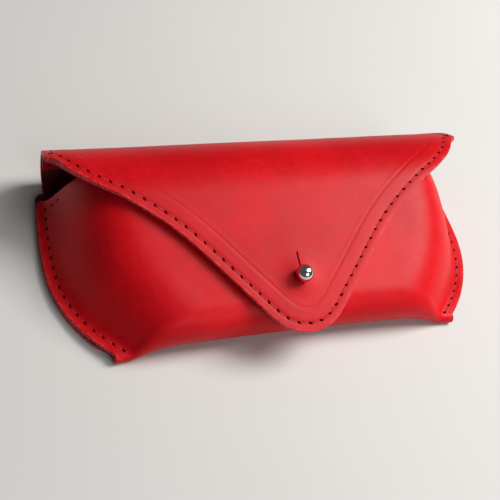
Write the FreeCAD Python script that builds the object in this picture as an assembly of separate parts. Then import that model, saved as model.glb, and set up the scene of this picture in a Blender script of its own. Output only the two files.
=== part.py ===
import FreeCAD, Part
import math
import os

# A soft leather eyewear case. It lies on its flat back: X runs along the case, +Y points from the
# bottom fold to the top of the case, and +Z points out of the front. All sizes are millimetres.
# One hide makes the back, the bottom fold, the front and the flap. The hide is divided where it folds.

Vec = FreeCAD.Vector

# ---- driving dimensions ----
hide = 1.6                  # thickness of the hide

# outline of the sewn sides
half_width = 80.0           # widest half width of the outline
waist_y = 39.2              # height at which the outline is widest
mouth_corner_y = 64.8       # top end of the sewn sides
mouth_corner_draw = 1.75    # how far the outline draws in at its top end
bottom_corner_y = -3.4      # lower end of the sewn sides
bottom_corner_draw = 19.3   # how far the outline draws in at its lower end
outline_power = 2.45        # how late the outline turns in below the waist
seam_gap = 0.05             # room between the two hides in the sewn flange

# section of the top and the flap, measured on the outer face
bend_start_y = 68.4         # the back is flat up to here
back_bend = 6.4             # outer radius of the bend behind
top_flat = 0.6              # flat stretch on top, between the two bends
front_bend = 27.5           # outer radius of the bend in front
front_turn = math.radians(108.3)
shoulder_step = 3.4         # the hide is this much narrower where it leaves the sewn back

# outline of the flap, laid out flat from the start of the back bend
flap_length = 112.8         # along the middle, to the tip
flap_corner = 40.4          # to the corners
flap_side_inset = 2.0       # the flap's corners stop this much inside the case's widest place
flap_gap = 1.35             # room between the flap and the front, for the stud's base and the facing
# shares of the way from the middle to the corner, and from the corner to the tip
flap_edge_shape = ((1.0, 0.0), (0.967, 0.028), (0.904, 0.132), (0.804, 0.227), (0.697, 0.306),
                   (0.491, 0.492), (0.26, 0.786), (0.121, 0.956))

# front panel
mouth_y = 58.0              # mouth edge in the middle
mouth_run = 8.0             # how quickly the mouth edge drops from the corners
mouth_corner_round = 2.4    # the mouth's corners are rounded over this distance
bottom_rise = 1.4           # the bottom fold is higher in the middle than at its corners
corner_fold = 2.1           # outer radius of the bottom fold at its corners
flange_top = 3.3            # width of the flat flange at the mouth
flange_bottom = 6.5         # width of the flat flange at the bottom corners
flange_soften = 1.1         # how softly the flange turns into the side
side_reach = 28.0           # how far from the flange the side rises to the full depth
settle = 18.0               # length over which the bottom fold runs into the front

# seams
stitch_inset = 2.9          # from the edge to the middle of the stitches
stitch_pitch = 4.1
stitch_share = 0.74         # share of the pitch that shows as thread
thread_dia = 0.9
thread_sink = 0.2           # how far the thread's middle lies under the surface
seam_start = 7.6            # the side seams start this far from the edge, under the mouth

# facing sewn under the flap's border
facing_width = 8.3
facing_thick = 0.8
facing_inset = 0.4
border_start = 12.5         # the facing and its stitching start here, just past the hinge
facing_gap = 0.12           # glue between the flap and the facing
field_room = 0.3            # the facing stays this far from the field round the stud

# stud and its keyhole
stud_from_tip = 19.1        # along the flap, from its tip to the stud
ball_dia = 6.0
neck_dia = 3.0
base_dia = 7.6
base_thick = 1.0
ball_lift = 0.3             # ball clear of the flap
screw_dia = 2.6
screw_head_dia = 7.0
screw_head_thick = 0.8
screw_play = 0.05
screw_hold = 0.2            # the screw's shank passes this far under the front's inner face
seat_gap = 0.02             # hairline between parts that are pressed together
patch_gap = 0.03            # hairline between the front and the patch
head_gap = 0.07             # hairline between the screw's head and the patch
neck_root = 0.2             # how far the neck starts inside the base
patch_dia = 14.0
patch_thick = 1.7
keyhole_dia = 4.4
slit_length = 4.9           # from the middle of the hole, inside the field
slit_width = 0.5
field_half_width = 5.4      # the field of flap leather that stretches over the ball
field_up = 5.4              # field above the stud
field_down = 12.6           # field below the stud
block_reach = 4.0           # cutting blocks stand this far out of the flap's faces

hinge_turn = math.radians(45)   # place of the hinge line on the back bend
hinge_gap = 0.3                 # half of the gap between the hide's two parts at the hinge

# ---- places worked out from the dimensions ----
strip_half_width = half_width - mouth_corner_draw - shoulder_step
flap_half_width = half_width - flap_side_inset
stud_at = flap_length - stud_from_tip
top_y = bend_start_y + back_bend
back_arc = back_bend * math.pi / 2
front_arc_start = back_arc + top_flat
front_arc_end = front_arc_start + front_bend * front_turn
front_centre = Vec(0, top_y - front_bend, back_bend + top_flat)
hinge_s = back_bend * hinge_turn
flange_level = 2 * hide + seam_gap


def section(s):
    """Outer face of the back, top and flap at the length s from the start of the back bend:
    the point and the direction out of the leather, both in the YZ plane."""
    if s < 0:
        return Vec(0, bend_start_y + s, 0), Vec(0, 0, -1)
    if s < back_arc:
        a = s / back_bend
        out = Vec(0, math.sin(a), -math.cos(a))
        return Vec(0, bend_start_y, back_bend) + out * back_bend, out
    if s < front_arc_start:
        return Vec(0, top_y, back_bend + s - back_arc), Vec(0, 1, 0)
    a = min((s - front_arc_start) / front_bend, front_turn)
    out = Vec(0, math.cos(a), math.sin(a))
    along = Vec(0, -math.sin(a), math.cos(a))
    rest = max(s - front_arc_end, 0.0)
    return front_centre + out * front_bend + along * rest, out


def on_flap(x, s, depth=0.0):
    """A point of the flap at a depth under its outer face."""
    point, out = section(s)
    return Vec(x, 0, 0) + point - out * depth


def outline(y):
    """Half width of the sewn outline at a height."""
    if y > waist_y:
        return half_width - mouth_corner_draw * ((y - waist_y) / (mouth_corner_y - waist_y)) ** 2
    down = (waist_y - y) / (waist_y - bottom_corner_y)
    return half_width - bottom_corner_draw * down ** outline_power


def centre_depth(y):
    """Height of the front's outer face in the middle of the case: it follows the flap's inner side."""
    radius = front_bend - hide - flap_gap
    turn_y = front_centre.y + radius * math.cos(front_turn)
    if y > turn_y:
        across = min(abs(y - front_centre.y), radius)
        return front_centre.z + math.sqrt(radius ** 2 - across ** 2)
    turn_z = front_centre.z + radius * math.sin(front_turn)
    return turn_z - (y - turn_y) / math.tan(front_turn)


def side_rise(share, y):
    """Share of the full depth at a share of the half width: 0 on the flange, 1 over the middle."""
    upward = (y - bottom_corner_y) / (mouth_corner_y - bottom_corner_y)
    upward = min(max(upward, 0.0), 1.0)
    flange = flange_bottom + (flange_top - flange_bottom) * upward
    inward = (1.0 - abs(share)) * outline(y) - flange
    soft = flange_soften * math.log1p(math.exp(min(inward / flange_soften, 40.0)))
    return 1.0 - (1.0 - min(soft / side_reach, 1.0)) ** 3


def flange_height(y):
    """Outer face of the sewn flange, which opens a little towards the bottom fold's corners."""
    near = max(0.0, 1.0 - (y - bottom_corner_y) / settle)
    return flange_level + (2 * corner_fold - flange_level) * near ** 2


def front_height(share, y):
    """Outer face of the front panel."""
    low = flange_height(y)
    return low + (centre_depth(y) - low) * side_rise(share, y)


def fold_line(share):
    """The bottom fold at one place along it: its lowest height, outer radius, and the tangent point
    and slope where it runs into the front."""
    low_y = bottom_corner_y + bottom_rise * (1.0 - abs(share) ** 2.5)
    step = 1.0
    height = front_height(share, low_y + step)
    slope = (front_height(share, low_y + 2 * step) - height) / step
    slope = max(slope, 0.0)
    level = height - slope * step
    long = math.sqrt(1.0 + slope ** 2)
    radius = level / (long + 1.0 - slope)
    return {"low_y": low_y, "radius": radius, "slope": slope, "level": level,
            "tangent_y": low_y + radius * (1.0 - slope / long),
            "turn": math.pi - math.atan(slope)}


def fold_point(share, part):
    """Outer face of the bottom fold: part runs from 0 at the back to 1 at the front."""
    fold = fold_line(share)
    angle = fold["turn"] * part
    y = fold["low_y"] + fold["radius"] * (1.0 - math.sin(angle))
    z = fold["radius"] * (1.0 - math.cos(angle))
    return Vec(share * outline(fold["tangent_y"]), y, z)


def mouth_height(share):
    """Height of the mouth edge: lowest in the middle, running up to the rounded corners."""
    inward = (1.0 - abs(share)) * half_width
    drop = mouth_corner_round * max(0.0, 1.0 - inward / mouth_corner_round) ** 2
    return mouth_y + (mouth_corner_y - mouth_y) * math.exp(-inward / mouth_run) - drop


def front_point(share, part):
    """Outer face of the front panel: part runs from 0 at the bottom fold to 1 at the mouth."""
    fold = fold_line(share)
    y = fold["tangent_y"] + (mouth_height(share) - fold["tangent_y"]) * part
    line = fold["level"] + fold["slope"] * (y - fold["low_y"])
    ease = min((y - fold["tangent_y"]) / settle, 1.0)
    ease = ease * ease * (3.0 - 2.0 * ease)
    z = line + (front_height(share, y) - line) * ease
    return Vec(share * outline(y), y, z)


# ---- building tools ----
def spread(count):
    """Shares from -1 to 1, closer together near both ends."""
    return [math.sin((2.0 * i / (count - 1) - 1.0) * math.pi / 2) for i in range(count)]


def steps(count):
    return [i / (count - 1) for i in range(count)]


def surface(grid):
    face = Part.BSplineSurface()
    face.interpolate(grid)
    return face


def leather_from(outer, inner):
    """A closed solid between two grids of points with the same layout."""
    faces = []
    sides = []
    for grid in (outer, inner):
        patch = surface(grid)
        faces.append(patch.toShape())
        first_u, last_u, first_v, last_v = patch.bounds()
        sides.append([patch.uIso(first_u).toShape(), patch.uIso(last_u).toShape(),
                      patch.vIso(first_v).toShape(), patch.vIso(last_v).toShape()])
    for outer_edge, inner_edge in zip(*sides):
        faces.append(Part.makeRuledSurface(outer_edge, inner_edge))
    shell = Part.makeCompound(faces)
    shell.sewShape(0.001)
    solid = Part.makeSolid(Part.Shell(shell.Faces))
    if solid.Volume < 0:
        solid.reverse()
    return solid


def inward_grid(point, us, vs, depth):
    """Points at a depth under the face point(u, v), along the face's own direction."""
    grid = []
    small = 1e-3
    for u in us:
        row = []
        for v in vs:
            u0, u1 = max(u - small, us[0]), min(u + small, us[-1])
            v0, v1 = max(v - small, vs[0]), min(v + small, vs[-1])
            across = point(u1, v) - point(u0, v)
            along = point(u, v1) - point(u, v0)
            out = across.cross(along).normalize()
            row.append(point(u, v) - out * depth)
        grid.append(row)
    return grid


def leather_panel(point, us, vs, thickness):
    outer = [[point(u, v) for v in vs] for u in us]
    return leather_from(outer, inward_grid(point, us, vs, thickness))


def bar(middle, direction, length, diameter):
    start = middle - direction * (length / 2)
    return Part.makeCylinder(diameter / 2, length, start, direction)


def stitches_along(path, count):
    """Bars of thread laid one pitch apart along a list of points, with the direction out of the
    leather given for each point."""
    bars = []
    length = [0.0]
    for a, b in zip(path, path[1:]):
        length.append(length[-1] + (b[0] - a[0]).Length)
    pitch = length[-1] / count
    for k in range(count):
        want = (k + 0.5) * pitch
        i = max(j for j in range(len(path) - 1) if length[j] <= want)
        share = (want - length[i]) / (length[i + 1] - length[i])
        a, b = path[i], path[i + 1]
        middle = a[0] + (b[0] - a[0]) * share - a[1] * thread_sink
        bars.append(bar(middle, (b[0] - a[0]).normalize(), pitch * stitch_share, thread_dia))
    return Part.makeCompound(bars)


def stitch_count(path):
    length = sum((b[0] - a[0]).Length for a, b in zip(path, path[1:]))
    return max(1, round(length / stitch_pitch))


# ---- the hide ----
def back_panel():
    """The flat back with the first half of the bend behind."""
    shares = spread(25)
    low = [fold_point(share, 0.0) for share in shares]
    heights = [low[-1].y + (mouth_corner_y - low[-1].y) * part for part in steps(17)]
    right = [Vec(outline(y), y, 0) for y in heights]
    right[0] = low[-1]
    left = [Vec(-p.x, p.y, 0) for p in reversed(right)]
    edges = []
    for points in (low, right, left):
        curve = Part.BSplineCurve()
        curve.interpolate(points)
        edges.append(curve.toShape())
    top_right = Vec(strip_half_width, bend_start_y, 0)
    top_left = Vec(-strip_half_width, bend_start_y, 0)
    edges.append(Part.makeLine(right[-1], top_right))
    edges.append(Part.makeLine(top_right, top_left))
    edges.append(Part.makeLine(top_left, left[0]))
    plate = Part.Face(Part.Wire(Part.__sortEdges__(edges))).extrude(Vec(0, 0, hide))
    bend = strip_section(0.0, hinge_s - hinge_gap, 0.0, hide)
    bend.translate(Vec(-strip_half_width, 0, 0))
    bend = bend.extrude(Vec(2 * strip_half_width, 0, 0))
    return plate.fuse(bend).removeSplitter().Solids[0]


def strip_section(start, end, top, bottom):
    """Face in the YZ plane between two depths of the back bend."""
    edges = []
    ends = []
    for depth in (top, bottom):
        points = [on_flap(0, start + (end - start) * part, depth) for part in (0.0, 0.5, 1.0)]
        edges.append(Part.Arc(*points).toShape())
        ends.append((points[0], points[2]))
    edges.append(Part.makeLine(ends[0][0], ends[1][0]))
    edges.append(Part.makeLine(ends[0][1], ends[1][1]))
    return Part.Face(Part.Wire(Part.__sortEdges__(edges)))


def bottom_fold():
    return leather_panel(fold_point, spread(41), steps(13), hide)


def front_panel():
    panel = leather_panel(front_point, spread(49), steps(25), hide)
    hole = stud_cylinder(screw_dia / 2 + screw_play, -hide - 1.0, 1.0)
    return panel.cut(hole)


def flap_edge():
    """The flap's cut edge laid out flat, from the left corner over the tip to the right corner."""
    right = []
    for across, toward_tip in flap_edge_shape:
        s = flap_corner + toward_tip * (flap_length - flap_corner)
        right.append(Vec(across * flap_half_width, s, 0))
    left = [Vec(-p.x, p.y, 0) for p in right]
    curve = Part.BSplineCurve()
    curve.interpolate(left + [Vec(0, flap_length, 0)] + right[::-1])
    return curve


def border_edge():
    """The cut edge of the flap with its two sides, which run on over the top of the case."""
    right = []
    for part in (0.0, 0.4, 0.75):
        s = border_start + (flap_corner - border_start) * part
        right.append(Vec(side_of_flap(s), s, 0))
    left = [Vec(-p.x, p.y, 0) for p in right]
    edge = flap_edge()
    middle = edge.discretize(Number=41)[1:-1]
    curve = Part.BSplineCurve()
    curve.interpolate(left + middle + right[::-1])
    return curve


def inset_edge(inset, count):
    """Points on the laid-out flap at a distance inside its border, from side to side."""
    curve = border_edge()
    points = []
    for p in curve.discretize(Number=count):
        along = curve.tangent(curve.parameter(p))[0]
        points.append(p + Vec(along.y, -along.x, 0) * inset)
    return points


def side_of_flap(s):
    """Half width of the hide between the hinge and the flap's corners."""
    start = hinge_s + hinge_gap
    return strip_half_width + (flap_half_width - strip_half_width) * (s - start) / (flap_corner - start)


def flap_body():
    edge = flap_edge().discretize(Number=73)
    start = hinge_s + hinge_gap
    shares = spread(len(edge))
    grids = []
    for depth in (0.0, hide):
        grid = []
        for end, share in zip(edge, shares):
            begin = Vec(end.x / flap_half_width * strip_half_width, start, 0)
            row = [begin + (end - begin) * part for part in steps(33)]
            grid.append([on_flap(p.x, p.y, depth) for p in row])
        grids.append(grid)
    return leather_from(*grids)


def stud_cylinder(radius, low, high):
    """Cylinder on the stud's axis, with heights measured from the front panel's outer face."""
    point, out = section(stud_at)
    base = point - out * (hide + flap_gap)
    return Part.makeCylinder(radius, high - low, base + out * low, out)


def flap_slot(half, up, down):
    """A round-ended block through the flap that runs from above the stud to below it."""
    point, out = section(stud_at)
    toward_top = out.cross(Vec(1, 0, 0))
    toward_top.multiply(math.copysign(1.0, toward_top.y))
    side = Vec(half, 0, 0)
    ends = [point - out * block_reach + toward_top * up, point - out * block_reach - toward_top * down]
    ring = Part.makePolygon([ends[0] - side, ends[0] + side, ends[1] + side, ends[1] - side,
                             ends[0] - side])
    block = Part.Face(ring).extrude(out * 2 * block_reach)
    rounds = [Part.makeCylinder(half, 2 * block_reach, end, out) for end in ends]
    return block.fuse(rounds).removeSplitter()


def field_block(margin=0.0):
    """The part of the flap round the stud that stretches over the ball."""
    half = field_half_width + margin
    return flap_slot(half, field_up - field_half_width, field_down - field_half_width)


def keyhole_cut():
    """Round hole over the stud's neck with a slit that runs up from it."""
    hole = stud_cylinder(keyhole_dia / 2, -block_reach, 2 * block_reach)
    return hole.fuse(flap_slot(slit_width / 2, slit_length, 0.0))


def facing():
    """Strip of thin leather under the flap's border."""
    outer = inset_edge(facing_inset, 97)
    inner = inset_edge(facing_width, 97)
    grids = []
    for depth in (hide + facing_gap, hide + facing_gap + facing_thick):
        grid = []
        for a, b in zip(outer, inner):
            row = [a + (b - a) * part for part in steps(6)]
            grid.append([on_flap(p.x, p.y, depth) for p in row])
        grids.append(grid)
    return leather_from(*grids).cut(field_block(field_room))


# ---- threads ----
def flap_border_thread():
    path = []
    for p in inset_edge(stitch_inset, 241):
        path.append((on_flap(p.x, p.y), section(p.y)[1]))
    return stitches_along(path, stitch_count(path))


def front_face(share, y):
    """Point of the front's outer face and the direction out of it."""
    small = 0.02
    tiny = small / outline(y)
    dx = (front_height(share + tiny, y) - front_height(share - tiny, y)) / (2 * small)
    dy = (front_height(share, y + small) - front_height(share, y - small)) / (2 * small)
    return Vec(share * outline(y), y, front_height(share, y)), Vec(-dx, -dy, 1).normalize()


def seam_path(side):
    """Line of a side seam: outward under the mouth, round the corner, and down to the bottom."""
    path = []
    for part in steps(30):
        inward = seam_start + (stitch_inset * 1.4 - seam_start) * part
        share = 1.0 - inward / half_width
        path.append(front_face(side * share, mouth_height(share) - stitch_inset))
    high = path[-1][0].y - stitch_inset * 0.4
    low = bottom_corner_y + corner_fold + thread_dia
    for part in steps(90):
        y = high + (low - high) * part
        lean = (outline(y + 0.1) - outline(y - 0.1)) / 0.2
        share = 1.0 - stitch_inset * math.sqrt(1.0 + lean ** 2) / outline(y)
        path.append(front_face(side * share, y))
    return path


def seam_thread(side):
    path = seam_path(side)
    return stitches_along(path, stitch_count(path))


# ---- stud ----
def stud_head():
    point, out = section(stud_at)
    ball_low = flap_gap + hide + ball_lift
    ball_mid = ball_low + ball_dia / 2
    foot = point - out * (hide + flap_gap)
    base = stud_cylinder(base_dia / 2, seat_gap, base_thick)
    neck = stud_cylinder(neck_dia / 2, base_thick - neck_root, ball_mid)
    ball = Part.makeSphere(ball_dia / 2, foot + out * ball_mid)
    return base.fuse([neck, ball]).removeSplitter()


def stud_screw():
    shank = stud_cylinder(screw_dia / 2, -hide - screw_hold, 0.0)
    under = -hide - seat_gap
    head = stud_cylinder(screw_head_dia / 2, under - screw_head_thick, under)
    return shank.fuse(head).removeSplitter()


def stud_patch():
    under = -hide - patch_gap
    disc = stud_cylinder(patch_dia / 2, under - patch_thick, under)
    room = stud_cylinder(screw_head_dia / 2 + screw_play, under - head_gap - screw_head_thick, 0.0)
    return disc.cut(room)


def build():
    whole_flap = flap_body()
    field = field_block()
    nodes = {
        "back_panel": back_panel(),
        "bottom_fold": bottom_fold(),
        "front_panel": front_panel(),
        "flap": whole_flap.cut(field),
        "flap_keyhole": whole_flap.common(field).cut(keyhole_cut()),
        "flap_facing": facing(),
        "flap_border_thread": flap_border_thread(),
        "left_seam_thread": seam_thread(-1),
        "right_seam_thread": seam_thread(1),
        "stud_head": stud_head(),
        "stud_screw": stud_screw(),
        "stud_patch": stud_patch(),
    }
    box = Part.makeCompound(list(nodes.values())).optimalBoundingBox(False)
    shift = Vec(0, -(box.YMin + box.YMax) / 2, 0)
    os.makedirs("parts", exist_ok=True)
    for name, shape in nodes.items():
        shape.translate(shift)
        shape.exportStep("parts/" + name + ".step")
        print(name, "valid", shape.isValid(), "solids", len(shape.Solids), "mm3", round(shape.Volume, 1))
    hinge = on_flap(0, hinge_s) + shift
    foot = section(stud_at)[0] + shift
    print("shift y", round(shift.y, 3), "hinge y z", round(hinge.y, 3), round(hinge.z, 3))
    print("stud on the flap", round(foot.y, 3), round(foot.z, 3))
    print("box", box)


build()
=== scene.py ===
# %% [markdown]
# # A red leather eyewear case
# One thick hide wraps round to make the back, the bottom, the front and a pointed flap. The flap
# buttons on a small ball stud. This lesson builds the looks of that case round a fixed model that
# already says how big everything is and where the flap turns. All lengths are metres.

# %% Load the fixed model
import math
import random

import bmesh
import bpy
import numpy as np
from mathutils import Matrix, Vector, noise
from mathutils.geometry import interpolate_bezier


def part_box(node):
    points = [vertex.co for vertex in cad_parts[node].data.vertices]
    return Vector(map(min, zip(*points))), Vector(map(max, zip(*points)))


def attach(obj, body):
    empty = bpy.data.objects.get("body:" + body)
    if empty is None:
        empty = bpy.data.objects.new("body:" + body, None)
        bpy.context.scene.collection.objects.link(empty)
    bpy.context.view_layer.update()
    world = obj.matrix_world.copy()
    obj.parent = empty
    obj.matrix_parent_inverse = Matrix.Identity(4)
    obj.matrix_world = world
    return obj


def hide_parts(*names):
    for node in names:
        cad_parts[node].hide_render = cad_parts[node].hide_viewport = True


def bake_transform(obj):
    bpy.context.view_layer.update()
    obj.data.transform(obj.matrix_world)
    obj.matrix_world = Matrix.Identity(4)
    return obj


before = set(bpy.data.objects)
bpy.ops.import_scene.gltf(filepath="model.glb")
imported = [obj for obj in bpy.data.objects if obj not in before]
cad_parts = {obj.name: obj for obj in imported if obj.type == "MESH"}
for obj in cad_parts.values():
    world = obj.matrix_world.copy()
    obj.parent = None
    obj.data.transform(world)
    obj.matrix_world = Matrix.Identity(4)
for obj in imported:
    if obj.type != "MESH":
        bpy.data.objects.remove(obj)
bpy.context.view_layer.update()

mm = 0.001
random.seed(7)

# %% [markdown]
# ## The camera
# The camera comes first, because every later choice is judged through it. It looks down at the case
# from the left and from the side of the bottom fold, so the left side wall and both seams show. A
# camera's own axes are easy to state as three directions: its right, its up, and its back.

# %% Camera
camera_place = Vector((-127.94, -184.42, 275.51)) * mm
camera_right = Vector((0.9344, -0.2664, 0.2363))
camera_up = Vector((0.0807, 0.8048, 0.5880))
camera_back = Vector((-0.3468, -0.5304, 0.7735))
lens_in_widths = 1.9456

camera_data = bpy.data.cameras.new("camera")
camera_data.sensor_width = 36
camera_data.lens = lens_in_widths * camera_data.sensor_width
camera = bpy.data.objects.new("camera", camera_data)
turn = Matrix((camera_right, camera_up, camera_back)).transposed()
camera.matrix_world = Matrix.Translation(camera_place) @ turn.to_4x4()
bpy.context.scene.collection.objects.link(camera)
bpy.context.scene.camera = camera
print("lens, mm:", round(camera_data.lens, 1))

# %% [markdown]
# ## The sizes the leather follows
# The fixed model gives the outer box of each part. The lengths below are the ones a leather worker
# would write on the pattern. The pattern is laid out flat: `s` runs from the start of the bend behind,
# over the top and down the flap, and `x` runs across. Three sizes come from the model's boxes, so the
# pattern stays tied to it: the widest half width, the height of the flap and where its bend starts.

# %% Pattern sizes
hide = 1.6 * mm
flap_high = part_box("flap")[1]
back_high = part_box("back_panel")[1]
half_width = back_high.x
back_bend = 6.4 * mm
front_bend = 27.5 * mm
top_flat = flap_high.z - back_bend - front_bend
front_turn = math.radians(108.3)
top_y = flap_high.y
bend_start_y = top_y - back_bend
strip_half_width = 74.85 * mm

waist_y = bend_start_y - 29.2 * mm
mouth_corner_y = bend_start_y - 3.6 * mm
mouth_corner_draw = 1.75 * mm
bottom_corner_y = bend_start_y - 71.8 * mm
bottom_corner_draw = 19.3 * mm
outline_power = 2.45

flap_length = 112.8 * mm
flap_corner = 40.4 * mm
flap_half_width = 78.0 * mm
flap_gap = 1.35 * mm
flap_edge_shape = ((1.0, 0.0), (0.967, 0.028), (0.904, 0.132), (0.804, 0.227), (0.697, 0.306),
                   (0.491, 0.492), (0.26, 0.786), (0.121, 0.956))

back_arc = back_bend * math.pi / 2
front_arc_start = back_arc + top_flat
front_arc_end = front_arc_start + front_bend * front_turn
front_centre = Vector((0, top_y - front_bend, back_bend + top_flat))
print("top flat, mm:", round(top_flat / mm, 2), " top of the case, mm:", round(top_y / mm, 2))

# %% [markdown]
# ## Rolling the flat pattern up
# Leather bends but doesn't stretch, so the top and the flap are one sheet rolled round two bends. A
# single function takes a place on the flat pattern to its place in space. Every piece that lies on the
# flap uses it: the hide, the facing, the thread and the keyhole.

# %% From flat to rolled
def section(s):
    """Outer face at a length along the pattern, and the direction out of the leather."""
    if s < 0:
        return Vector((0, bend_start_y + s, 0)), Vector((0, 0, -1))
    if s < back_arc:
        a = s / back_bend
        out = Vector((0, math.sin(a), -math.cos(a)))
        return Vector((0, bend_start_y, back_bend)) + out * back_bend, out
    if s < front_arc_start:
        return Vector((0, top_y, back_bend + s - back_arc)), Vector((0, 1, 0))
    a = min((s - front_arc_start) / front_bend, front_turn)
    out = Vector((0, math.cos(a), math.sin(a)))
    along = Vector((0, -math.sin(a), math.cos(a)))
    return front_centre + out * front_bend + along * max(s - front_arc_end, 0.0), out


def on_flap(x, s, depth=0.0):
    point, out = section(s)
    return Vector((x, 0, 0)) + point - out * depth


def ease(t):
    t = min(max(t, 0.0), 1.0)
    return t * t * (3 - 2 * t)


print("tip of the flap, mm:", [round(v / mm, 1) for v in on_flap(0, flap_length)])

# %% [markdown]
# ## The cut edge of the flap
# The edge is one smooth line through a few shape points: steep at the corners, hollow on the way down
# and tightly round at the tip. Bezier spans with even tangents pass through the points without a kink,
# and the line is then divided evenly, so that the columns of the mesh are about as wide as each other.

# %% Smooth lines
def smooth_line(points, per_span=16):
    """A line through flat points, with the tangent at each point along its two neighbours."""
    line = []
    for i in range(len(points) - 1):
        a, b = points[i], points[i + 1]
        before = points[max(i - 1, 0)]
        after = points[min(i + 2, len(points) - 1)]
        start_handle = a + (b - before) / 6
        end_handle = b - (after - a) / 6
        line += interpolate_bezier(a, start_handle, end_handle, b, per_span)[:-1]
    return line + [points[-1]]


def evenly(line, count):
    """The same line as count points, evenly spaced."""
    length = [0.0]
    for a, b in zip(line, line[1:]):
        length.append(length[-1] + (b - a).length)
    wanted = np.linspace(0, length[-1], count)
    return [Vector(p) for p in zip(*(np.interp(wanted, length, [q[k] for q in line]) for k in range(2)))]


hinge_s = back_bend * math.radians(45)


def side_of_strip(s):
    """Half width of the hide between the fold behind and the flap's corners."""
    return strip_half_width + (flap_half_width - strip_half_width) * (s - hinge_s) / (flap_corner - hinge_s)


corner_to_tip = [Vector((across * flap_half_width, flap_corner + part * (flap_length - flap_corner)))
                 for across, part in flap_edge_shape]
tip = Vector((0, flap_length))
front_edge = smooth_line([Vector((-p.x, p.y)) for p in corner_to_tip] + [tip] + corner_to_tip[::-1])

border_start = 12.5 * mm
side_points = [Vector((side_of_strip(s), s)) for s in np.linspace(0, flap_corner, 8)[:-1]]
border_line = [Vector((-p.x, p.y)) for p in side_points] + front_edge + side_points[::-1]
border_line = evenly(border_line, 500)
border_array = np.array([tuple(p) for p in border_line])


def from_border(x, s):
    """Distance on the flat pattern from a place to the flap's cut border."""
    return float(np.hypot(border_array[:, 0] - x, border_array[:, 1] - s).min())


print("cut border, mm:", round(sum((b - a).length for a, b in zip(border_line, border_line[1:])) / mm))

# %% [markdown]
# ## Node helpers for the finishes
# Every finish is a small network of nodes. Short helpers keep the cells readable: one adds a node and
# joins it up, one opens a node group, one maps a value to a range and one blends two colours. Patterns
# read `rest_place`, a value kept on each point of the leather that says where it lies at rest, so the
# grain doesn't slide when the flap turns.

# %% Node helpers
def add_node(tree, kind, settings=(), **inputs):
    """A node with its settings, and its inputs set to numbers or joined to sockets."""
    new = tree.nodes.new(kind)
    for name, value in dict(settings).items():
        setattr(new, name, value)
    for name, value in inputs.items():
        socket = new.inputs[int(name[1:])] if name[1:].isdigit() else new.inputs[name.replace("_", " ")]
        if isinstance(value, bpy.types.NodeSocket):
            tree.links.new(value, socket)
        else:
            socket.default_value = value
    return new


def new_group(name, inputs, outputs):
    """An empty node group with number or vector inputs and number outputs."""
    group = bpy.data.node_groups.new(name, "ShaderNodeTree")
    for label, kind, value in inputs:
        socket = group.interface.new_socket(label, in_out="INPUT", socket_type="NodeSocket" + kind)
        if kind == "Float":
            socket.default_value = value
    for label in outputs:
        group.interface.new_socket(label, in_out="OUTPUT", socket_type="NodeSocketFloat")
    return group, group.nodes.new("NodeGroupInput"), group.nodes.new("NodeGroupOutput")


def ramp(tree, value, low, high, to_low=0.0, to_high=1.0):
    """Maps a value from one range to another, held at both ends."""
    return add_node(tree, "ShaderNodeMapRange", {"interpolation_type": "SMOOTHSTEP"}, _0=value, _1=low,
                    _2=high, _3=to_low, _4=to_high).outputs[0]


def blend_colours(tree, share, a, b):
    """A colour between a and b; share is a socket that changes over the surface."""
    return add_node(tree, "ShaderNodeMix", {"data_type": "RGBA"}, _0=share, _6=a, _7=b).outputs[2]


print("node helpers ready")

# %% [markdown]
# ## Grain of a waxed hide
# Smooth full-grain leather has three sizes of pattern: clouds of dye a few centimetres wide, a web of
# fine creases, and pores that are barely visible. One group makes all three, and each leather finish
# in the case places it with its own sizes.

# %% Grain group
grain, g_in, g_out = new_group(
    "hide_grain",
    [("Place", "Vector", None), ("Cloud Scale", "Float", 30.0), ("Pore Scale", "Float", 1500.0),
     ("Crease Scale", "Float", 420.0)],
    ["Clouds", "Flecks", "Height"])
clouds = add_node(grain, "ShaderNodeTexNoise", Vector=g_in.outputs["Place"],
                  Scale=g_in.outputs["Cloud Scale"], Detail=5.0, Roughness=0.62)
flecks = add_node(grain, "ShaderNodeTexNoise", Vector=g_in.outputs["Place"],
                  Scale=g_in.outputs["Crease Scale"], Detail=4.0, Roughness=0.65)
pores = add_node(grain, "ShaderNodeTexVoronoi", {"feature": "F1"}, Vector=g_in.outputs["Place"],
                 Scale=g_in.outputs["Pore Scale"], Randomness=0.9)
creases = add_node(grain, "ShaderNodeTexVoronoi", {"feature": "DISTANCE_TO_EDGE"},
                   Vector=g_in.outputs["Place"], Scale=g_in.outputs["Crease Scale"], Randomness=1.0)
pore_height = ramp(grain, pores.outputs["Distance"], 0.0, 0.45)
crease_height = ramp(grain, creases.outputs["Distance"], 0.0, 0.12)
both = add_node(grain, "ShaderNodeMix", {"data_type": "FLOAT"}, _0=0.45, _2=pore_height, _3=crease_height)
with_flecks = add_node(grain, "ShaderNodeMath", {"operation": "MULTIPLY_ADD"}, _0=flecks.outputs[0], _1=0.8,
                       _2=both.outputs[0])
grain.links.new(ramp(grain, clouds.outputs[0], 0.30, 0.70), g_out.inputs["Clouds"])
grain.links.new(ramp(grain, flecks.outputs[0], 0.30, 0.72), g_out.inputs["Flecks"])
grain.links.new(with_flecks.outputs[0], g_out.inputs["Height"])
print("grain group nodes:", len(grain.nodes))

# %% [markdown]
# ## The leather finishes
# The face of the hide is dyed a strong red and waxed, so it shines softly where light grazes it. The
# flesh side is darker and matt. The cut edges are slicked smooth, a little darker than the face, with
# paler rubbed spots. The same function makes all of them, with different colours and roughness.

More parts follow.
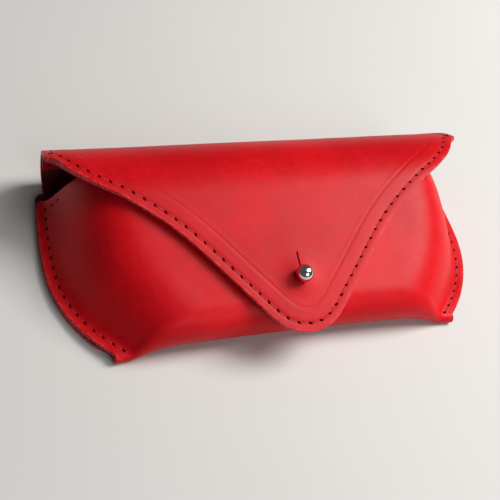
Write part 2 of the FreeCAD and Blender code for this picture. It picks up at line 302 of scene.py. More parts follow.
# %% Leather finishes
def leather(name, deep, bright, rough, height, cloud_scale=26.0, pore_scale=1500.0, crease_scale=420.0,
            rubbed=None, sheen=0.0):
    """A leather finish. rubbed is the colour that shows where the cut edges are worn."""
    material = bpy.data.materials.new(name)
    material.use_nodes = True
    tree = material.node_tree
    shader = tree.nodes["Principled BSDF"]
    place = add_node(tree, "ShaderNodeAttribute", {"attribute_name": "rest_place"}).outputs["Vector"]
    pattern = add_node(tree, "ShaderNodeGroup", {"node_tree": grain}, Place=place, Cloud_Scale=cloud_scale,
                       Pore_Scale=pore_scale, Crease_Scale=crease_scale)
    amount = add_node(tree, "ShaderNodeMath", {"operation": "MULTIPLY_ADD"}, _0=pattern.outputs["Flecks"],
                      _1=0.30, _2=ramp(tree, pattern.outputs["Clouds"], 0.0, 1.0, 0.0, 0.7))
    colour = blend_colours(tree, amount.outputs[0], deep, bright)
    if rubbed:
        near = add_node(tree, "ShaderNodeAttribute", {"attribute_name": "edge_near"}).outputs["Fac"]
        worn = add_node(tree, "ShaderNodeMath", {"operation": "MULTIPLY"}, _0=near,
                        _1=ramp(tree, pattern.outputs["Flecks"], 0.35, 0.85, 0.1, 0.9))
        colour = blend_colours(tree, worn.outputs[0], colour, rubbed)
    tree.links.new(colour, shader.inputs["Base Color"])
    tree.links.new(ramp(tree, pattern.outputs["Flecks"], 0.0, 1.0, rough - 0.02, rough + 0.03),
                   shader.inputs["Roughness"])
    bump = add_node(tree, "ShaderNodeBump", Strength=1.0, Distance=height, Height=pattern.outputs["Height"])
    tree.links.new(bump.outputs[0], shader.inputs["Normal"])
    shader.inputs["Specular IOR Level"].default_value = 0.15
    shader.inputs["Sheen Weight"].default_value = sheen
    shader.inputs["Sheen Roughness"].default_value = 0.5
    shader.inputs["Sheen Tint"].default_value = (1.0, 0.62, 0.62, 1)
    return material


face_leather = leather("red_waxed_face", (0.50, 0.002, 0.006, 1), (0.66, 0.005, 0.010, 1), 0.43, 0.000009,
                       rubbed=(0.72, 0.045, 0.055, 1))
flesh_leather = leather("red_flesh_side", (0.050, 0.002, 0.003, 1), (0.13, 0.006, 0.009, 1), 0.85, 0.00014,
                        pore_scale=2600.0, sheen=0.25)
edge_leather = leather("slicked_edge", (0.26, 0.004, 0.008, 1), (0.55, 0.020, 0.028, 1), 0.40, 0.00006,
                       cloud_scale=140.0, crease_scale=900.0, rubbed=(0.66, 0.10, 0.11, 1))
facing_leather = leather("facing_lining", (0.30, 0.004, 0.008, 1), (0.42, 0.010, 0.016, 1), 0.60, 0.00006)
suede = leather("patch_suede", (0.07, 0.003, 0.004, 1), (0.17, 0.010, 0.014, 1), 0.92, 0.00020,
                pore_scale=3000.0, sheen=0.35)
print("leathers:", face_leather.name, flesh_leather.name, edge_leather.name, facing_leather.name)

# %% [markdown]
# ## How thick leather settles
# A moulded hide is never quite even. Slow, shallow swells show in the way light runs over it. The
# stitches pull it down along a line, the facing under the border prints through as a shallow step,
# and the cut edge is rubbed round. All of this is real shape, so it is in the mesh and not only in the
# finish.

# %% Relief of the flap
stitch_inset = 2.9 * mm
facing_width = 8.3 * mm
stud_s = flap_length - 19.1 * mm
groove_half_width, groove_depth = 0.70 * mm, 0.16 * mm
print_half_width, print_depth = 0.40 * mm, 0.13 * mm
facing_step, facing_step_run = 0.12 * mm, 1.6 * mm
dome_height, dome_reach = 0.95 * mm, 5.0 * mm
swell_fade = 16 * mm
border_calm, border_swell = 12 * mm, 0.4
flap_begins = 4 * mm


def swell(x, y, size, height, seed):
    return height * noise.noise(Vector((x / size, y / size, seed)))


def hollow(distance, place, width, depth):
    return -depth * math.exp(-((distance - place) / width) ** 2)


def flap_relief(x, s):
    """How far the flap's outer face stands proud of the plain rolled sheet."""
    lift = swell(x, s, 34 * mm, 0.24 * mm, 1.0) + swell(x, s, 11 * mm, 0.05 * mm, 4.0)
    if s < flap_begins:
        return lift * ease(s / swell_fade)
    d = from_border(x, s)
    lift *= ease(s / swell_fade) * (border_swell + (1 - border_swell) * ease(d / border_calm))
    started = ease((s - border_start + 2 * mm) / (3 * mm))
    lift += started * hollow(d, stitch_inset, groove_half_width, groove_depth)
    lift += started * hollow(d, facing_width, print_half_width, print_depth)
    lift -= started * facing_step * ease((d - facing_width) / facing_step_run)
    around = math.hypot(x, s - stud_s)
    return lift + dome_height * math.exp(-(around / dome_reach) ** 2)


print("dome at the stud, mm:", round(flap_relief(0, stud_s) / mm, 2))

# %% [markdown]
# ## Outline of the sewn sides and the bottom fold
# The back lies flat. Its sides are nearly straight and turn in late towards the bottom corners. The
# bottom fold is a tight turn at its corners and a rounder one in the middle, where the case is deep.
# These formulas are the same ones that the fixed model follows.

# %% Outline and fold
mouth_y = bend_start_y - 10.4 * mm
mouth_run = 8.0 * mm
mouth_corner_round = 2.4 * mm
bottom_rise = 1.4 * mm
corner_fold = 2.1 * mm
flange_level = 2 * hide + 0.05 * mm
flange_top, flange_bottom = 3.3 * mm, 6.5 * mm
flange_soften = 1.1 * mm
side_reach = 28.0 * mm
settle = 18.0 * mm


def outline(y):
    """Half width of the sewn outline at a height."""
    if y > waist_y:
        return half_width - mouth_corner_draw * ((y - waist_y) / (mouth_corner_y - waist_y)) ** 2
    return half_width - bottom_corner_draw * ((waist_y - y) / (waist_y - bottom_corner_y)) ** outline_power


def centre_depth(y):
    """Height of the front in the middle of the case: it follows the flap's inner side."""
    radius = front_bend - hide - flap_gap
    turn_y = front_centre.y + radius * math.cos(front_turn)
    if y > turn_y:
        return front_centre.z + math.sqrt(max(radius ** 2 - (y - front_centre.y) ** 2, 0.0))
    return front_centre.z + radius * math.sin(front_turn) - (y - turn_y) / math.tan(front_turn)


def side_rise(share, y):
    """0 on the flange, 1 over the middle."""
    upward = min(max((y - bottom_corner_y) / (mouth_corner_y - bottom_corner_y), 0.0), 1.0)
    flange = flange_bottom + (flange_top - flange_bottom) * upward
    inward = (1.0 - abs(share)) * outline(y) - flange
    soft = flange_soften * math.log1p(math.exp(min(inward / flange_soften, 40.0)))
    return 1.0 - (1.0 - min(soft / side_reach, 1.0)) ** 3


def front_height(share, y):
    near = max(0.0, 1.0 - (y - bottom_corner_y) / settle)
    low = flange_level + (2 * corner_fold - flange_level) * near ** 2
    return low + (centre_depth(y) - low) * side_rise(share, y)


def fold_line(share):
    """The bottom fold at one place along it."""
    low_y = bottom_corner_y + bottom_rise * (1.0 - abs(share) ** 2.5)
    height = front_height(share, low_y + mm)
    slope = max((front_height(share, low_y + 2 * mm) - height) / mm, 0.0)
    level = height - slope * mm
    slant = math.sqrt(1.0 + slope ** 2)
    radius = level / (slant + 1.0 - slope)
    return {"low_y": low_y, "radius": radius, "slope": slope, "level": level,
            "tangent_y": low_y + radius * (1.0 - slope / slant), "turn": math.pi - math.atan(slope)}


def fold_point(share, part):
    fold = fold_line(share)
    angle = fold["turn"] * part
    return Vector((share * outline(fold["tangent_y"]),
                   fold["low_y"] + fold["radius"] * (1.0 - math.sin(angle)),
                   fold["radius"] * (1.0 - math.cos(angle))))


def mouth_height(share):
    inward = (1.0 - abs(share)) * half_width
    drop = mouth_corner_round * max(0.0, 1.0 - inward / mouth_corner_round) ** 2
    return mouth_y + (mouth_corner_y - mouth_y) * math.exp(-inward / mouth_run) - drop


def front_point(share, part):
    fold = fold_line(share)
    y = fold["tangent_y"] + (mouth_height(share) - fold["tangent_y"]) * part
    line = fold["level"] + fold["slope"] * (y - fold["low_y"])
    z = line + (front_height(share, y) - line) * ease((y - fold["tangent_y"]) / settle)
    return Vector((share * outline(y), y, z))


print("bottom fold radius in the middle, mm:", round(fold_line(0.0)["radius"] / mm, 2))

# %% [markdown]
# ## From a flat grid to a thick hide
# Each piece of hide starts as a flat grid. Its points are moved to their place, a Solidify modifier
# gives the leather its thickness inwards, and the cut edges are then bevelled round, as an edge slicker
# leaves them. Everything is baked into the mesh, so nothing is left live. The rows that meet another
# piece of the same hide are marked as joins: they stay square, so the two pieces read as one.

# %% Hide makers
def to_piece(bm, name):
    """Makes a smooth finished piece from a bmesh."""
    mesh = bpy.data.meshes.new(name)
    bm.to_mesh(mesh)
    bm.free()
    piece = bpy.data.objects.new(name, mesh)
    bpy.context.scene.collection.objects.link(piece)
    mesh.shade_smooth()
    return piece


def bake(piece):
    """Applies the piece's modifiers."""
    graph = bpy.context.evaluated_depsgraph_get()
    mesh = bpy.data.meshes.new_from_object(piece.evaluated_get(graph))
    piece.modifiers.clear()
    piece.data = mesh


def shaped_grid(columns, rows, place):
    """A grid whose point (i, j) is moved to place(i, j)."""
    bm = bmesh.new()
    made = bmesh.ops.create_grid(bm, x_segments=columns, y_segments=rows, size=1.0)
    for v in made["verts"]:
        v.co = place(round((v.co.x + 1) / 2 * columns), round((v.co.y + 1) / 2 * rows))
    return bm


def thicken(piece, thickness, finishes):
    """Gives a sheet its thickness. finishes: the face, the inner side and the cut edge."""
    for finish in finishes:
        piece.data.materials.append(finish)
    solid = piece.modifiers.new("thickness", "SOLIDIFY")
    solid.thickness = thickness
    solid.offset = -1
    solid.use_quality_normals = True
    solid.material_offset = 1
    solid.material_offset_rim = 2
    bake(piece)


def slick_edges(piece, width, at_join):
    """Rounds the cut edges. at_join(point) is true where the hide runs on into another piece."""
    bm = bmesh.new()
    bm.from_mesh(piece.data)
    rim = []
    for e in bm.edges:
        if len({f.material_index for f in e.link_faces}) > 1:
            if all(at_join(v.co) for v in e.verts):
                e.smooth = False
            else:
                rim.append(e)
    bmesh.ops.bevel(bm, geom=rim, offset=width, offset_type="OFFSET", segments=3, profile=0.5,
                    affect="EDGES", material=-1, clamp_overlap=True)
    bm.to_mesh(piece.data)
    bm.free()


def keep_values(piece, near_edge):
    """Keeps on every point its place at rest, and how near it is to a cut edge."""
    mesh = piece.data
    values = np.empty(len(mesh.vertices) * 3, np.float32)
    mesh.vertices.foreach_get("co", values)
    mesh.attributes.new("rest_place", "FLOAT_VECTOR", "POINT").data.foreach_set("vector", values)
    near = np.array([near_edge(v.co) for v in mesh.vertices], np.float32)
    mesh.attributes.new("edge_near", "FLOAT", "POINT").data.foreach_set("value", near)


print("hide makers ready")

# %% [markdown]
# ## Columns of the grid
# Light shows every change of shape near the seams, and hardly any in the middle of the case. So the
# columns stand close together along both sides, where the stitches pull the leather down.

# %% Columns
side_insets = [0, .5, 1, 1.5, 2, 2.45, 2.9, 3.3, 3.7, 4.1, 4.6, 5.2, 5.9, 6.7, 7.6, 8.6, 9.8, 11.2]
middle_columns = 48
last_inset = side_insets[-1] * mm
half_shares = [1 - inset * mm / half_width for inset in side_insets]
half_shares += [(1 - last_inset / half_width) * (1 - k / middle_columns) for k in range(1, middle_columns)]
shares = [-v for v in half_shares] + [0.0] + half_shares[::-1]
column_count = len(shares) - 1
print("columns:", column_count)

# %% [markdown]
# ## Seam lines of the sides
# Each side seam starts under the mouth, turns the corner and runs down to the bottom fold, always the
# same distance inside the edge. The hide is drawn down along it, on the front and on the back.

# %% Seam lines
seam_start = 7.6 * mm
thread_dia = 0.9 * mm
seam_pull_width = 0.95 * mm
front_pull, back_pull = 0.28 * mm, 0.25 * mm
corner_points, side_points_count = 30, 90
corner_turn_in, corner_turn_down = 1.4, 0.4


def seam_line():
    """Flat line of the right side seam as (x, y) points, from the mouth to the bottom."""
    line = []
    for k in range(corner_points):
        inward = seam_start + (stitch_inset * corner_turn_in - seam_start) * k / (corner_points - 1)
        line.append(Vector((half_width - inward, mouth_height(1 - inward / half_width) - stitch_inset)))
    high = line[-1].y - stitch_inset * corner_turn_down
    low = bottom_corner_y + corner_fold + thread_dia
    for k in range(side_points_count):
        y = high + (low - high) * k / (side_points_count - 1)
        lean = (outline(y + 0.1 * mm) - outline(y - 0.1 * mm)) / (0.2 * mm)
        line.append(Vector((outline(y) - stitch_inset * math.sqrt(1 + lean ** 2), y)))
    return line


seam = seam_line()
seam_array = np.array([tuple(p) for p in seam])


def from_seam(x, y):
    return float(np.hypot(seam_array[:, 0] - abs(x), seam_array[:, 1] - y).min())


print("seam length, mm:", round(sum((b - a).length for a, b in zip(seam, seam[1:])) / mm, 1))

# %% [markdown]
# ## The back and the flap
# The back, the top and the flap are one piece of hide. The grid follows it from the bottom fold up the
# back, round the bend, over the top and down the flap. Its last rows run parallel to the cut edge, so
# the stitch groove and the pressed line beside it keep one even distance from the edge.

# %% Back and flap hide
plain_back_rows = 32
shoulder_turns = [math.radians(a) for a in (0, 14, 28, 42, 56, 70)]
bend_rows = [k * 0.8 * mm for k in range(18)]
edge_insets = [12, 10.6, 9.6, 9.0, 8.6, 8.3, 8.0, 7.6, 6.8, 5.8, 4.8, 4.1, 3.6, 3.2, 2.9, 2.6, 2.2, 1.6,
               0.9, 0.4, 0]
middle_rows = 52
bend_end = bend_rows[-1]
tip_crowding = 1.3
corner_blend = 14 * mm
tip_reach = 24 * mm
draw_limit = 6.5 * mm
rubbed_round = 0.5 * mm
worn_reach = 1.2 * mm
join_reach = 0.15 * mm
back_top = 3 * mm
cutter_length = 12 * mm


def curved_share(share):
    return math.copysign(abs(share) ** tip_crowding, share)


edge_steps = 2000
edge_reach = 8
edge_ends = evenly(front_edge, edge_steps + 1)
edge_length = sum((b - a).length for a, b in zip(edge_ends, edge_ends[1:]))


def on_front_edge(share):
    """Point of the flap's cut edge for one column, and the direction into the leather."""
    t = (1 + curved_share(share)) / 2 * edge_steps
    k = min(int(t), edge_steps - 1)
    point = edge_ends[k].lerp(edge_ends[k + 1], t - k)
    a, b = edge_ends[max(k - edge_reach, 0)], edge_ends[min(k + 1 + edge_reach, edge_steps)]
    along = (b - a).normalized()
    into = Vector((along.y, -along.x))
    to_corner = (1 - abs(curved_share(share))) / 2 * edge_length
    side = Vector((side_of_strip(0) - side_of_strip(flap_corner), -flap_corner))
    side = Vector((math.copysign(1, share) * side.x, side.y)).normalized()
    return point, side.lerp(into, ease(to_corner / corner_blend)).normalized(), edge_length / 2 - to_corner


def inside_edge(share, inset):
    """A place inside the cut edge. Round the tip the deep rows draw together less, so none cross."""
    point, into, to_tip = on_front_edge(share)
    near_tip = 1 - ease(to_tip / tip_reach)
    sideways = inset + (draw_limit * (1 - math.exp(-inset / draw_limit)) - inset) * near_tip
    return point + Vector((into.x * sideways, into.y * inset))


shoulder = outline(mouth_corner_y) - strip_half_width
shoulder_start = bend_start_y - shoulder
back_rows = plain_back_rows + len(shoulder_turns)


def back_row(j, start):
    """Height and half width of one row on the back; the last ones go round the rounded shoulder."""
    if j < plain_back_rows:
        y = start + (shoulder_start - start) * j / plain_back_rows
        return y, outline(y)
    turn = shoulder_turns[j - plain_back_rows]
    return shoulder_start + shoulder * math.sin(turn), strip_half_width + shoulder * math.cos(turn)


def flap_place(i, j):
    share = -shares[i]
    if j < back_rows:
        fold = fold_line(share)
        start = fold["low_y"] + fold["radius"]
        y, width = back_row(j, start)
        joined = outline(fold["tangent_y"])
        x = share * (joined + (width - joined) * ease((y - start) / (6 * mm)))
        rise = max(0.0, 0.10 * mm + swell(x, y, 30 * mm, 0.12 * mm, 8.0))
        rise += back_pull * math.exp(-(from_seam(x, y) / seam_pull_width) ** 2)
        ends = ease((y - start) / (8 * mm)) * ease((bend_start_y - y) / (8 * mm))
        return Vector((x, y, rise * ends))
    j -= back_rows
    if j < len(bend_rows):
        s = bend_rows[j]
        x = share * side_of_strip(max(s, hinge_s))
        return on_flap(x, s, -flap_relief(x, s))
    j -= len(bend_rows)
    if j < middle_rows:
        begin = Vector((share * side_of_strip(bend_end), bend_end))
        flat = begin.lerp(inside_edge(share, edge_insets[0] * mm), (j + 1) / (middle_rows + 1))
    else:
        flat = inside_edge(share, edge_insets[j - middle_rows] * mm)
    return on_flap(flat.x, flat.y, -flap_relief(flat.x, flat.y))


row_count = back_rows + len(bend_rows) + middle_rows + len(edge_insets) - 1
back_and_flap = to_piece(shaped_grid(column_count, row_count, flap_place), "hide_back_and_flap")
join_height = fold_line(1.0)["radius"] + bottom_corner_y
print("rows:", row_count, " quads:", len(back_and_flap.data.polygons))


def at_fold_join(point):
    """True on the line where the back runs into the bottom fold."""
    if point.z > 1.2 * hide:
        return False
    share = max(-1.0, min(1.0, point.x / outline(join_height)))
    fold = fold_line(share)
    return abs(point.y - fold["low_y"] - fold["radius"]) < join_reach


thicken(back_and_flap, hide, [face_leather, flesh_leather, edge_leather])
slick_edges(back_and_flap, rubbed_round, at_fold_join)
print("faces after slicking:", len(back_and_flap.data.polygons))

# %% [markdown]
# ## The keyhole
# A round hole lets the stud's neck through, and a short slit above it lets the leather open over the
# ball. Both are punched after the hide has its thickness, each with its own Boolean: the hole with a
# short round bar, the slit with a thin blade. The cutters are removed once they have been baked in.

# %% Keyhole
stud_point, stud_out = section(stud_s)
stud_foot = stud_point - stud_out * (hide + flap_gap)
stud_turn = Vector((0, 0, 1)).rotation_difference(stud_out).to_matrix().to_4x4()
keyhole_radius = 2.2 * mm
slit_top = 8.2 * mm
slit_half = 0.22 * mm

cutter_bm = bmesh.new()
bmesh.ops.create_cone(cutter_bm, cap_ends=True, segments=40, radius1=keyhole_radius,
                      radius2=keyhole_radius, depth=cutter_length)
cutter = to_piece(cutter_bm, "cutter_hole")
blade_bm = bmesh.new()
bmesh.ops.create_cube(blade_bm, size=1.0)
bmesh.ops.scale(blade_bm, vec=(2 * slit_half, slit_top, cutter_length), verts=blade_bm.verts)
bmesh.ops.translate(blade_bm, vec=(0, slit_top / 2, 0), verts=blade_bm.verts)
blade = to_piece(blade_bm, "cutter_blade")
for tool in (cutter, blade):
    tool.data.materials.append(edge_leather)
    tool.data.transform(Matrix.Translation(stud_point - stud_out * hide / 2) @ stud_turn)
    punch = back_and_flap.modifiers.new("punch", "BOOLEAN")
    punch.operation = "DIFFERENCE"
    punch.solver = "EXACT"
    punch.object = tool
    punch.material_mode = "TRANSFER"
bpy.context.view_layer.update()
bake(back_and_flap)
for tool in (cutter, blade):
    bpy.data.objects.remove(tool)


def near_flap_edge(point):
    """1 on the flap's cut edge, falling to 0 a little way in."""
    if point.z < back_top and point.y < bend_start_y:
        return max(0.0, 1 - abs(outline(point.y) - abs(point.x)) / worn_reach)
    flat_s = flat_length(point)
    return max(0.0, 1 - from_border(point.x, flat_s) / worn_reach)


def flat_length(point):
    """Length along the pattern for a point of the rolled sheet."""
    if point.z < back_bend:
        return back_bend * math.atan2(point.y - bend_start_y, back_bend - point.z)
    if point.z < front_centre.z and point.y > front_centre.y:
        return back_arc + point.z - back_bend
    a = math.atan2(point.z - front_centre.z, point.y - front_centre.y)
    if 0 <= a < front_turn:
        return front_arc_start + front_bend * a
    along = Vector((0, -math.sin(front_turn), math.cos(front_turn)))
    return front_arc_end + (point - front_centre).dot(along)


keep_values(back_and_flap, near_flap_edge)
print("hide with keyhole, faces:", len(back_and_flap.data.polygons))

# %% [markdown]
# ## The bend strip at the hinge
# When the flap opens, the leather bends behind the case along a strip, not at a line. Here the strip is
# only laid out: a start, a direction and a length. The direction is nearly straight up from the table,
# so the whole back lies before the start and the whole flap past the end.

# %% Strip across the hinge
blend_direction = Vector((0, 0.05, 1)).normalized()
blend_length = 6.8 * mm
blend_start = Vector((0, bend_start_y, 1.3 * mm))
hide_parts("back_panel", "flap", "flap_keyhole")
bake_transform(back_and_flap)
tip_inner = on_flap(0, flap_length, hide)
tip_share = (tip_inner - blend_start).dot(blend_direction) / blend_length
print("share of the turn at the tip:", round(tip_share, 2))

# %% [markdown]
# ## The front and the bottom fold
# The same hide turns up at the bottom and becomes the moulded front. Its sides come down to flat
# flanges that are sewn to the back, and its mouth is a cut edge that rises to both corners.

# %% Front hide
fold_rows = 14
front_rows = 72
flange_calm, front_swell_run = 7 * mm, 12 * mm


def front_relief(share, part, point):
    """How far the front's face stands proud of the plain moulded shape."""
    lift = swell(point.x, point.y, 38 * mm, 0.30 * mm, 2.0) + swell(point.x, point.y, 12 * mm, 0.06 * mm, 6.0)
    inward = (1 - abs(share)) * half_width
    lift *= ease((inward - flange_calm) / front_swell_run)
    lift -= front_pull * math.exp(-(from_seam(point.x, point.y) / seam_pull_width) ** 2)
    return lift * ease(part * 5)


def front_out(share, part):
    step = 1e-3
    s0, s1 = max(share - step, -1), min(share + step, 1)
    p0, p1 = max(part - step, 0), min(part + step, 1)
    return (front_point(s1, part) - front_point(s0, part)).cross(
        front_point(share, p1) - front_point(share, p0)).normalized()


def front_place(i, j):
    share = shares[i]
    if j < fold_rows:
        return fold_point(share, j / fold_rows)
    part = (j - fold_rows) / front_rows
    point = front_point(share, part)
    return point + front_out(share, part) * front_relief(share, part, point)


front_hide = to_piece(shaped_grid(column_count, fold_rows + front_rows, front_place), "hide_front")
thicken(front_hide, hide, [face_leather, flesh_leather, edge_leather])
slick_edges(front_hide, rubbed_round, at_fold_join)


def near_front_edge(point):
    side = abs(outline(max(point.y, bottom_corner_y)) - abs(point.x))
    top = abs(mouth_height(min(abs(point.x) / outline(point.y), 1)) - point.y) if point.y > 0 else 1
    return max(0.0, 1 - min(side, top) / worn_reach)


keep_values(front_hide, near_front_edge)
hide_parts("bottom_fold", "front_panel")
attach(front_hide, "pouch_body")
print("front faces:", len(front_hide.data.polygons))

# %% [markdown]
# ## The facing under the border
# A thin strip of leather is glued under the flap's edge and sewn through, so the stitches have a firm
# second layer to pull against. It follows the same border line at two distances from the edge.

# %% Facing
facing_thick = 0.8 * mm
facing_inset = 0.4 * mm
facing_gap = 0.12 * mm
facing_rows = 6
start_margin = 0.5 * mm
facing_round = 0.2 * mm


def border_path(inset, count):
    """Evenly spread flat points at a distance inside the flap's border, past the bend behind."""
    kept = [p for p in border_line if p.y >= border_start - start_margin]
    moved = []
    for a, p, b in zip(kept, kept[1:], kept[2:]):
        along = (b - a).normalized()
        moved.append(p + Vector((along.y, -along.x)) * inset)
    return evenly(moved, count)


facing_columns = 240
outer_line = border_path(facing_inset, facing_columns + 1)
inner_line = border_path(facing_width, facing_columns + 1)


def facing_place(i, j):
    flat = outer_line[i].lerp(inner_line[i], j / facing_rows)
    return on_flap(flat.x, flat.y, hide + facing_gap - flap_relief(flat.x, flat.y))


facing = to_piece(shaped_grid(facing_columns, facing_rows, facing_place), "facing_strip")
thicken(facing, facing_thick, [facing_leather, facing_leather, edge_leather])
slick_edges(facing, facing_round, lambda point: False)
keep_values(facing, lambda point: 0.0)
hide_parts("flap_facing")
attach(facing, "flap_body")
print("facing faces:", len(facing.data.polygons))

# %% [markdown]
# ## Waxed thread and the painted shade of its holes
# The case is saddle stitched. From close by, each stitch is a short lens of thread that dives into a
# slanted hole at both ends, and the holes read darker than the thread, as they lie in shade. So a
# stitch is a stretched sphere with few faces, and over each dive lies a flat dark lens of painted shade
# that stands in for the shadow in the hole.

# %% Thread finish and painted hole shade
thread_finish = bpy.data.materials.new("waxed_red_thread")
thread_finish.use_nodes = True
tree = thread_finish.node_tree
strand_uv = add_node(tree, "ShaderNodeUVMap", {"uv_map": "strand"}).outputs[0]
lay = add_node(tree, "ShaderNodeMapping", Vector=strand_uv, Rotation=(0, 0, 0.6), Scale=(2.0, 5.0, 1.0))
twist = add_node(tree, "ShaderNodeTexWave", Vector=lay.outputs[0], Scale=1.0, Distortion=0.6)
shader = tree.nodes["Principled BSDF"]
tree.links.new(blend_colours(tree, twist.outputs["Fac"], (0.34, 0.003, 0.008, 1), (0.60, 0.010, 0.016, 1)),
               shader.inputs["Base Color"])
twist_bump = add_node(tree, "ShaderNodeBump", Strength=0.8, Distance=0.00008, Height=twist.outputs["Fac"])
tree.links.new(twist_bump.outputs[0], shader.inputs["Normal"])
shader.inputs["Roughness"].default_value = 0.5

# The hole finish is painted shade: a near-black red that stands in for the shadow inside each awl hole.
painted_hole_finish = bpy.data.materials.new("awl_hole_shade")
painted_hole_finish.use_nodes = True
tree = painted_hole_finish.node_tree
hole_place = add_node(tree, "ShaderNodeTexCoord").outputs["Object"]
painted_hole_noise = add_node(tree, "ShaderNodeTexNoise", Vector=hole_place, Scale=900.0)
shader = tree.nodes["Principled BSDF"]
painted_hole_dark, painted_hole_pale = (0.030, 0.0005, 0.001, 1), (0.085, 0.001, 0.003, 1)
tree.links.new(blend_colours(tree, painted_hole_noise.outputs[0], painted_hole_dark, painted_hole_pale), shader.inputs["Base Color"])
shader.inputs["Roughness"].default_value = 0.85
shader.inputs["Specular IOR Level"].default_value = 0.0
print("thread finishes ready")

# %% Stitch maker
stitch_pitch = 4.1 * mm
stitch_line_points = 420
stitch_long, stitch_wide, stitch_high = 3.3 * mm, 0.66 * mm, 0.44 * mm
# Sizes of the flat lens of painted shade that is laid over each awl hole.
hole_long, hole_wide, hole_high = 1.5 * mm, 0.86 * mm, 0.26 * mm
hole_slant = math.radians(24)
thread_slant, thread_sway = 4, 2
thread_sink, hole_lift = 0.02 * mm, 0.07 * mm


def lens(bm, frame_of_stitch, size, slant, strand):
    """One stretched sphere laid in a frame: along, sideways and out of the leather."""
    turn = frame_of_stitch @ Matrix.Rotation(slant, 4, "Z") @ Matrix.Diagonal((*size, 1))
    lay_down = Matrix.Rotation(math.pi / 2, 4, "Y")
    bmesh.ops.create_uvsphere(bm, u_segments=8, v_segments=6, radius=0.5, matrix=turn @ lay_down,
                              calc_uvs=strand)


def sew(name, path, replaced, body):
    """Sews stitches along a path of (point, out) pairs, as one thread piece and one piece of painted hole
    shade.
    """
    length = [0.0]
    for a, b in zip(path, path[1:]):
        length.append(length[-1] + (b[0] - a[0]).length)
    count = max(1, round(length[-1] / stitch_pitch))
    threads, holes = bmesh.new(), bmesh.new()
    threads.loops.layers.uv.new("strand")
    for k in range(2 * count + 1):
        want = min(k * length[-1] / (2 * count), length[-1] * 0.99999)
        i = max(0, int(np.searchsorted(length, want)) - 1)
        share = (want - length[i]) / (length[i + 1] - length[i])
        middle = path[i][0].lerp(path[i + 1][0], share)
        out = path[i][1].lerp(path[i + 1][1], share).normalized()
        along = (path[i + 1][0] - path[i][0]).normalized()
        side = out.cross(along).normalized()
        axes = Matrix((along, side, out)).transposed().to_4x4()
        wobble = random.uniform(-1, 1)
        if k % 2:
            lie = Matrix.Translation(middle + out * thread_sink) @ axes
            slant = math.radians(thread_slant + thread_sway * wobble)
            lens(threads, lie, (stitch_long, stitch_wide, stitch_high), slant, True)
        else:
            lie = Matrix.Translation(middle + out * hole_lift) @ axes
            # A flat dark lens of painted shade stands in for the shadow inside the awl hole.
            grow = 1 + 0.12 * wobble
            lens(holes, lie, (hole_long * grow, hole_wide * grow, hole_high), -hole_slant, False)
    thread = to_piece(threads, name + "_stitches")
    thread.data.materials.append(thread_finish)
    hole = to_piece(holes, name + "_painted_hole_shade")
    hole.data.materials.append(painted_hole_finish)
    if replaced:
        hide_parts(replaced)
    for piece in (thread, hole):
        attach(piece, body)
    print(name, "stitches:", count)


def flap_path(depth_sign):
    """The flap's stitch line on its outer face (1) or on the facing inside (-1)."""
    path = []
    for p in border_path(stitch_inset, stitch_line_points):
        out = section(p.y)[1]
        depth = -flap_relief(p.x, p.y)
        if depth_sign < 0:
            depth += hide + facing_gap + facing_thick
        path.append((on_flap(p.x, p.y, depth), out * depth_sign))
    return path


sew("flap_border", flap_path(1), "flap_border_thread", "flap_body")
sew("flap_border_inside", flap_path(-1), None, "flap_body")

# %% [markdown]
# The side seams run through the flange of the front and through the back. On the front they lie in the
# pressed line; on the back they come out flush with the flat face.

# %% Side seams
back_thread_sink = 0.22 * mm


def front_share_point(x, y):
    """Point of the front's face over a flat place, found from the height on the panel."""
    share = x / outline(y)
    fold = fold_line(share)
    part = (y - fold["tangent_y"]) / (mouth_height(share) - fold["tangent_y"])
    part = max(0.0, min(1.0, part))
    point = front_point(share, part)
    out = front_out(share, part)
    return point + out * front_relief(share, part, point), out


def seam_sides(side, face):
    path = []
    for p in seam:
        if face == "front":
            path.append(front_share_point(side * p.x, p.y))
        else:
            path.append((Vector((side * p.x, p.y, back_thread_sink)), Vector((0, 0, -1))))
    return path


for name, side in (("left_seam", -1), ("right_seam", 1)):
    sew(name, seam_sides(side, "front"), name + "_thread", "pouch_body")
    sew(name + "_back", seam_sides(side, "back"), None, "pouch_body")

# %% [markdown]
# ## The ball stud
# The stud is turned from one bar: a flat base, a short neck and a ball. A lathe turns a profile round
# an axis, and the spin operator does the same with a few edges. The face that comes out is closed at
# both poles by merging the points there.

# %% Nickel
nickel = bpy.data.materials.new("polished_nickel")
nickel.use_nodes = True
tree = nickel.node_tree
metal_place = add_node(tree, "ShaderNodeTexCoord").outputs["Object"]
smudge = add_node(tree, "ShaderNodeTexNoise", Vector=metal_place, Scale=420.0, Detail=3.0)
scratch = add_node(tree, "ShaderNodeTexNoise", Vector=metal_place, Scale=2600.0, Detail=2.0)
shader = tree.nodes["Principled BSDF"]
tree.links.new(blend_colours(tree, smudge.outputs[0], (0.80, 0.77, 0.72, 1), (0.70, 0.67, 0.62, 1)),
               shader.inputs["Base Color"])
tree.links.new(ramp(tree, smudge.outputs[0], 0.3, 0.75, 0.07, 0.20), shader.inputs["Roughness"])
metal_bump = add_node(tree, "ShaderNodeBump", Strength=0.3, Distance=0.00001, Height=scratch.outputs[0])
tree.links.new(metal_bump.outputs[0], shader.inputs["Normal"])
shader.inputs["Metallic"].default_value = 1.0
merge_reach = 0.005 * mm


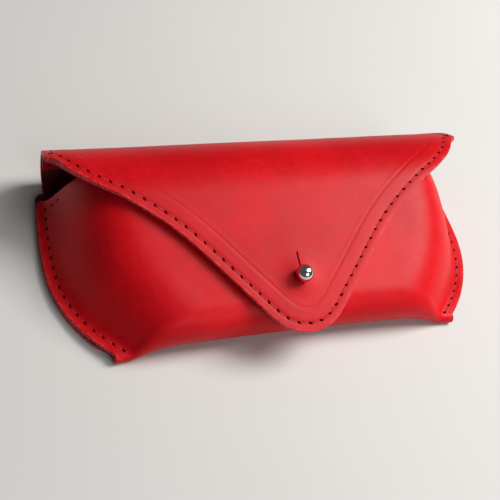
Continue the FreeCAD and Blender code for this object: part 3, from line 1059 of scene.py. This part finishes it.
def turned(name, profile, steps, finish):
    """Spins a profile of (radius, height) points round the stud's axis and sets it in its place."""
    bm = bmesh.new()
    line = [bm.verts.new((radius, 0, height)) for radius, height in profile]
    edges = [bm.edges.new(pair) for pair in zip(line, line[1:])]
    bmesh.ops.spin(bm, geom=line + edges, cent=(0, 0, 0), axis=(0, 0, 1), angle=math.tau, steps=steps,
                   use_merge=True)
    bmesh.ops.remove_doubles(bm, verts=bm.verts, dist=merge_reach)
    bmesh.ops.recalc_face_normals(bm, faces=bm.faces)
    bmesh.ops.transform(bm, matrix=Matrix.Translation(stud_foot) @ stud_turn, verts=bm.verts)
    piece = to_piece(bm, name)
    piece.data.materials.append(finish)
    return piece


# %% Stud
ball_radius = 3.0 * mm
ball_mid = flap_gap + hide + 0.3 * mm + ball_radius
neck_radius = 1.5 * mm
base_profile = [(0, 0.02), (3.5, 0.02), (3.72, 0.10), (3.8, 0.28), (3.8, 0.72), (3.72, 0.90), (3.5, 1.0),
                (2.1, 1.04), (1.72, 1.16), (1.5, 1.45)]
neck_meets = math.asin(neck_radius / ball_radius)
profile = [(radius * mm, height * mm) for radius, height in base_profile]
for k in range(27):
    angle = neck_meets + (math.pi - neck_meets) * k / 26
    profile.append((ball_radius * math.sin(angle), ball_mid - ball_radius * math.cos(angle)))
stud = turned("ball_stud", profile, 48, nickel)
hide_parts("stud_head")
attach(stud, "pouch_body")
for slot in bpy.data.objects["stud_screw"].material_slots:
    slot.material = nickel
print("ball, mm:", round(2 * ball_radius / mm, 1))

# %% [markdown]
# ## The patch inside
# A soft disc of suede covers the screw's head inside the case, so it can't scratch a lens. Its rim is
# rounded, and its top has a pocket for the screw's head.

# %% Patch
patch_radius, patch_thick = 7.0, 1.7
top = -hide / mm - 0.03
low = top - patch_thick
pocket = 0.87
patch_profile = [(0, low), (patch_radius - 0.8, low), (patch_radius - 0.25, low + 0.15),
                 (patch_radius, low + 0.6), (patch_radius, top - 0.5), (patch_radius - 0.2, top - 0.1),
                 (patch_radius - 0.6, top), (3.55, top), (3.55, top - pocket), (0, top - pocket)]
patch = turned("suede_patch", [(radius * mm, height * mm) for radius, height in patch_profile], 56, suede)
keep_values(patch, lambda point: 0.0)
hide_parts("stud_patch")
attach(patch, "pouch_body")
print("patch faces:", len(patch.data.polygons))

# %% [markdown]
# ## Floor and light
# A plain pale floor and soft studio light. The key light stands at the right, so the flap's left edge
# throws a shadow. A weaker light above puts a haze on the waxed flap, another in front opens up the
# bottom, and a dim pale world keeps the last shadows from going black.

# %% Floor and lights
floor_bm = bmesh.new()
bmesh.ops.create_grid(floor_bm, x_segments=2, y_segments=2, size=1.6)
floor = to_piece(floor_bm, "floor")
floor_finish = bpy.data.materials.new("pale_floor")
floor_finish.use_nodes = True
floor_tree = floor_finish.node_tree
floor_place = add_node(floor_tree, "ShaderNodeTexCoord").outputs["Object"]
floor_noise = add_node(floor_tree, "ShaderNodeTexNoise", Vector=floor_place, Scale=6.0, Detail=3.0)
floor_colour = blend_colours(floor_tree, floor_noise.outputs[0], (0.62, 0.61, 0.59, 1), (0.68, 0.67, 0.65, 1))
floor_shader = floor_tree.nodes["Principled BSDF"]
floor_tree.links.new(floor_colour, floor_shader.inputs["Base Color"])
floor_shader.inputs["Roughness"].default_value = 0.8
floor.data.materials.append(floor_finish)


def soft_light(name, place, size, watts, colour, aim=(0, 0, 0.015)):
    data = bpy.data.lights.new(name, "AREA")
    data.shape = "DISK"
    data.size = size
    data.energy = watts
    data.color = colour
    light = bpy.data.objects.new(name, data)
    light.location = place
    light.rotation_euler = (Vector(place) - Vector(aim)).to_track_quat("Z", "Y").to_euler()
    bpy.context.scene.collection.objects.link(light)


soft_light("key", (0.54, 0.02, 0.62), 0.42, 6.7, (1.0, 0.98, 0.96))
soft_light("top", (0.31, -0.04, 0.84), 0.50, 1.9, (1.0, 0.99, 0.98))
soft_light("front", (0.18, -0.72, 0.52), 0.6, 2.0, (0.98, 0.99, 1.0))
world = bpy.data.worlds.new("studio")
world.use_nodes = True
world.node_tree.nodes["Background"].inputs["Color"].default_value = (0.80, 0.82, 0.85, 1)
world.node_tree.nodes["Background"].inputs["Strength"].default_value = 0.10
bpy.context.scene.world = world
bpy.context.scene.view_settings.view_transform = "Standard"
print("lights:", len(bpy.data.lights))
